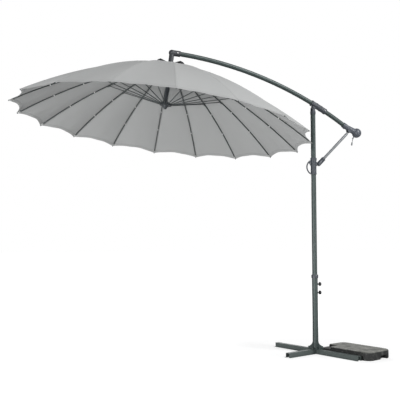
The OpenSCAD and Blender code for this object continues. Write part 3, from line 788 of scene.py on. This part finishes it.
TIE_PLACES, POCKET_PLACE = (0.57, 0.76), 0.982
small_pieces = []
for rib in range(RIBS):
    body = f"rib_{rib + 1:02d}"
    for k, t in enumerate(TIE_PLACES):
        loop = tape_loop(f"tie_{rib + 1:02d}_{k + 1}", rib, t, 0.009, 0.0096, 0.0128, tie_cloth)
        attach(loop, body)
        small_pieces.append(loop)
    pocket = tape_loop(f"tip_pocket_{rib + 1:02d}", rib, POCKET_PLACE, 0.030, 0.0115, 0.0118, tape_cloth)
    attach(pocket, body)
    small_pieces.append(pocket)
print("ties and pockets:", len(small_pieces))

# %% [markdown]
# ## How the cloth rides
# Cloth can't follow a hinge as a bar does. Here each panel and its hem only ride on
# their own rib, each with a mesh of its own, and the solid canopy is hidden.

# %% Panels ride on their ribs
FOLD_RADIUS, FOLD_HEIGHT = 0.6, 0.4
for rib, (panel, hem) in enumerate(zip(panels, hems)):
    body = f"rib_{rib + 1:02d}"
    angle = rib_angle(rib)
    anchor = on_canopy(angle, FOLD_RADIUS, FOLD_HEIGHT)
    for piece in (panel, hem):
        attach(piece, body)
        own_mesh(piece)
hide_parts("canopy")

# %% [markdown]
# ## The ballast slab
# The slab is a blow-moulded shell that is filled with concrete. Its edges are well
# rounded, one corner is lower where it meets the foot, and a grip is let into the
# far end. The shape is swept from a rounded outline in a few rings, as the mould
# would draw it, and the finish adds the scuffed, dusty top.

# %% Slab finish
TOP_START = 0.068


def paint_slab(place, put, bump):
    top = ((place.part(2) - TOP_START) * 90.0).clamp()
    blotch = place.noise(13.0, 5.0, 0.70).ramp((0.36, 0.0), (0.64, 1.0))
    fine = place.noise(70.0, 4.0, 0.7)
    scuff = place.noise(24.0, 4.0, 0.75).ramp((0.52, 0.0), (0.72, 1.0))
    worn = blotch.mix((0.070, 0.070, 0.064), (0.260, 0.262, 0.240))
    side = scuff.mix((0.006, 0.007, 0.007), (0.060, 0.062, 0.058))
    put(Base_Color=top.mix(side, worn), Roughness=0.62 + (fine - 0.5) * 0.3)
    bump(fine + blotch * 0.6, 0.5, 0.0012)


slab_finish = finish("slab_finish", paint_slab)

# %% Slab shape
SLAB = dict(off=0.037, long=0.560, wide=0.330, high=0.080, corner=0.060, step=0.024, grip=0.218)
FOOT_TURN = 108
TURN = Matrix.Rotation(math.radians(FOOT_TURN - 180), 4, "Z")
CORNER_STEPS = 10
STEP_SIDE, GRIP_DEEP, GRIP_HALF, GRIP_HIGH = 0.120, 0.046, 0.050, 0.036
CUT_PAST, CUT_ROUND, FLAT_AREA = 0.05, 0.008, 0.004

# (distance in from the outline, height) of each ring.
SLAB_RINGS = [
    (0.006, 0.0), (0.001, 0.004), (0.0, 0.012), (0.0, SLAB["high"] - 0.016),
    (0.002, SLAB["high"] - 0.007), (0.007, SLAB["high"] - 0.002), (0.013, SLAB["high"])]


def slab_outline(inset):
    """Rounded outline from the inner corner on, with equal steps in every corner."""
    low, corner = SLAB["off"] + inset, SLAB["corner"] - inset
    far_x, far_y = SLAB["off"] + SLAB["long"] - inset, SLAB["off"] + SLAB["wide"] - inset
    right, left = far_x - corner, low + corner
    back, front = far_y - corner, low + corner
    points = []
    for x, y, start in ((right, back, 0), (left, back, 90), (left, front, 180), (right, front, 270)):
        for k in range(CORNER_STEPS + 1):
            turn = math.radians(start + 90 * k / CORNER_STEPS)
            points.append((x + corner * math.cos(turn), y + corner * math.sin(turn)))
    return points


def make_slab():
    """The slab's rounded block, swept upwards through SLAB_RINGS."""
    made = bmesh.new()
    loops = []
    for inset, z in SLAB_RINGS:
        loops.append([made.verts.new((x, y, z)) for x, y in slab_outline(inset)])
    join_rings(made, loops)
    made.faces.new(loops[0][::-1])
    made.faces.new(loops[-1])
    return to_mesh("slab", made)


def cutter(name, low, high):
    """A rounded block used to cut the slab."""
    made = bmesh.new()
    bmesh.ops.create_cube(made, size=1.0)
    size = Vector(high) - Vector(low)
    middle = (Vector(high) + Vector(low)) / 2
    bmesh.ops.scale(made, vec=size, verts=made.verts)
    bmesh.ops.translate(made, vec=middle, verts=made.verts)
    bmesh.ops.bevel(made, geom=made.edges[:], offset=CUT_ROUND, segments=4, affect="EDGES", profile=0.5)
    piece = bpy.data.objects.new(name, to_mesh(name, made))
    scene.collection.objects.link(piece)
    return piece


def carve(body, cutters):
    """Cut the blocks out of the body for good, and remove them."""
    for block in cutters:
        cut = body.modifiers.new("cut", "BOOLEAN")
        cut.operation, cut.object, cut.solver = "DIFFERENCE", block, "EXACT"
    bpy.context.view_layer.update()
    carved = bpy.data.meshes.new_from_object(body.evaluated_get(bpy.context.evaluated_depsgraph_get()))
    body.modifiers.clear()
    body.data = carved
    for block in cutters:
        bpy.data.objects.remove(block)


# %% Make the slab
slab = bpy.data.objects.new("slab_shell", make_slab())
scene.collection.objects.link(slab)
step_low = SLAB["off"] - CUT_PAST
step_high = SLAB["off"] + STEP_SIDE
grip_start = SLAB["off"] + SLAB["long"] - GRIP_DEEP
grip_end = SLAB["off"] + SLAB["long"] + CUT_PAST
grip_middle = SLAB["off"] + SLAB["grip"]
carve(slab, [
    cutter("cut_step", (step_low, step_low, SLAB["high"] - SLAB["step"]),
           (step_high, step_high, SLAB["high"] + CUT_PAST)),
    cutter("cut_grip", (grip_start, grip_middle - GRIP_HALF, -CUT_PAST),
           (grip_end, grip_middle + GRIP_HALF, GRIP_HIGH)),
])
slab.data.transform(TURN)
for face in slab.data.polygons:
    face.use_smooth = face.area < FLAT_AREA
slab.data.materials.clear()
slab.data.materials.append(slab_finish)
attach(slab, "base")
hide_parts("ballast_slab", "ballast_fill")
print("slab faces:", len(slab.data.polygons))
